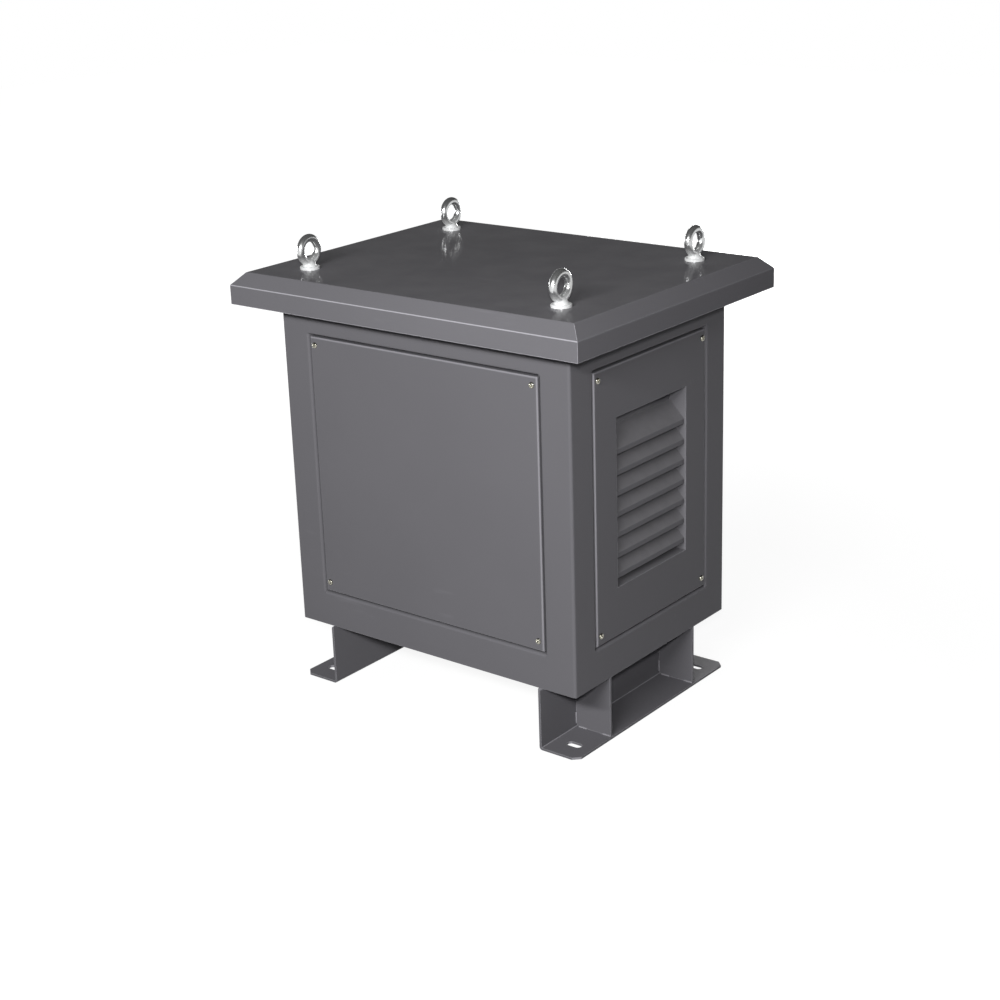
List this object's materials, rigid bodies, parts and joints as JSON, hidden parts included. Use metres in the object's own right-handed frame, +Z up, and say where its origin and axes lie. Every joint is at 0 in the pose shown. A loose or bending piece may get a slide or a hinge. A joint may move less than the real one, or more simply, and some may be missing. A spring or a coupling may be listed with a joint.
{
  "type": "isolation transformer",
  "caption": "Floor-standing dry isolation transformer in a grey sheet-steel enclosure with louvred sides, an overhanging folded roof, lifting eyes and slotted feet.",
  "frame": {"origin": "on the floor, under the middle of the footprint", "axes": "+Z up, +X to the right seen from the front, front face towards -Y"},
  "size_m": [0.538, 0.422, 0.6005],
  "materials": {
    "powder_coat": "fine-textured grey powder coat",
    "zinc_plate": "bright zinc plating",
    "core_steel": "varnished lamination steel",
    "winding": "varnished winding with insulation wrap",
    "clamp_paint": "satin dark paint"
  },
  "bodies": {
    "root": {"corner_post_front_left": "powder_coat", "corner_post_front_right": "powder_coat", "corner_post_rear_right": "powder_coat", "corner_post_rear_left": "powder_coat", "bottom_rail_front": "powder_coat", "bottom_rail_right": "powder_coat", "bottom_rail_rear": "powder_coat", "bottom_rail_left": "powder_coat", "top_rail_front": "powder_coat", "top_rail_right": "powder_coat", "top_rail_rear": "powder_coat", "top_rail_left": "powder_coat", "base_plate": "powder_coat", "roof": "powder_coat", "lifting_plate_front_left": "powder_coat", "lifting_plate_front_right": "powder_coat", "lifting_plate_rear_right": "powder_coat", "lifting_plate_rear_left": "powder_coat", "front_panel": "powder_coat", "rear_panel": "powder_coat", "left_louvre_panel": "powder_coat", "right_louvre_panel": "powder_coat", "left_louvre_box": "powder_coat", "right_louvre_box": "powder_coat", "left_louvre_blades": "powder_coat", "right_louvre_blades": "powder_coat", "left_foot": "powder_coat", "right_foot": "powder_coat", "left_gusset_front": "powder_coat", "left_gusset_rear": "powder_coat", "right_gusset_front": "powder_coat", "right_gusset_rear": "powder_coat", "lifting_eye_front_left": "zinc_plate", "lifting_eye_front_right": "zinc_plate", "lifting_eye_rear_right": "zinc_plate", "lifting_eye_rear_left": "zinc_plate", "core": "core_steel", "winding_left": "winding", "winding_centre": "winding", "winding_right": "winding", "lower_clamp_front": "clamp_paint", "lower_clamp_rear": "clamp_paint", "upper_clamp_front": "clamp_paint", "upper_clamp_rear": "clamp_paint"}
  },
  "joints": []
}
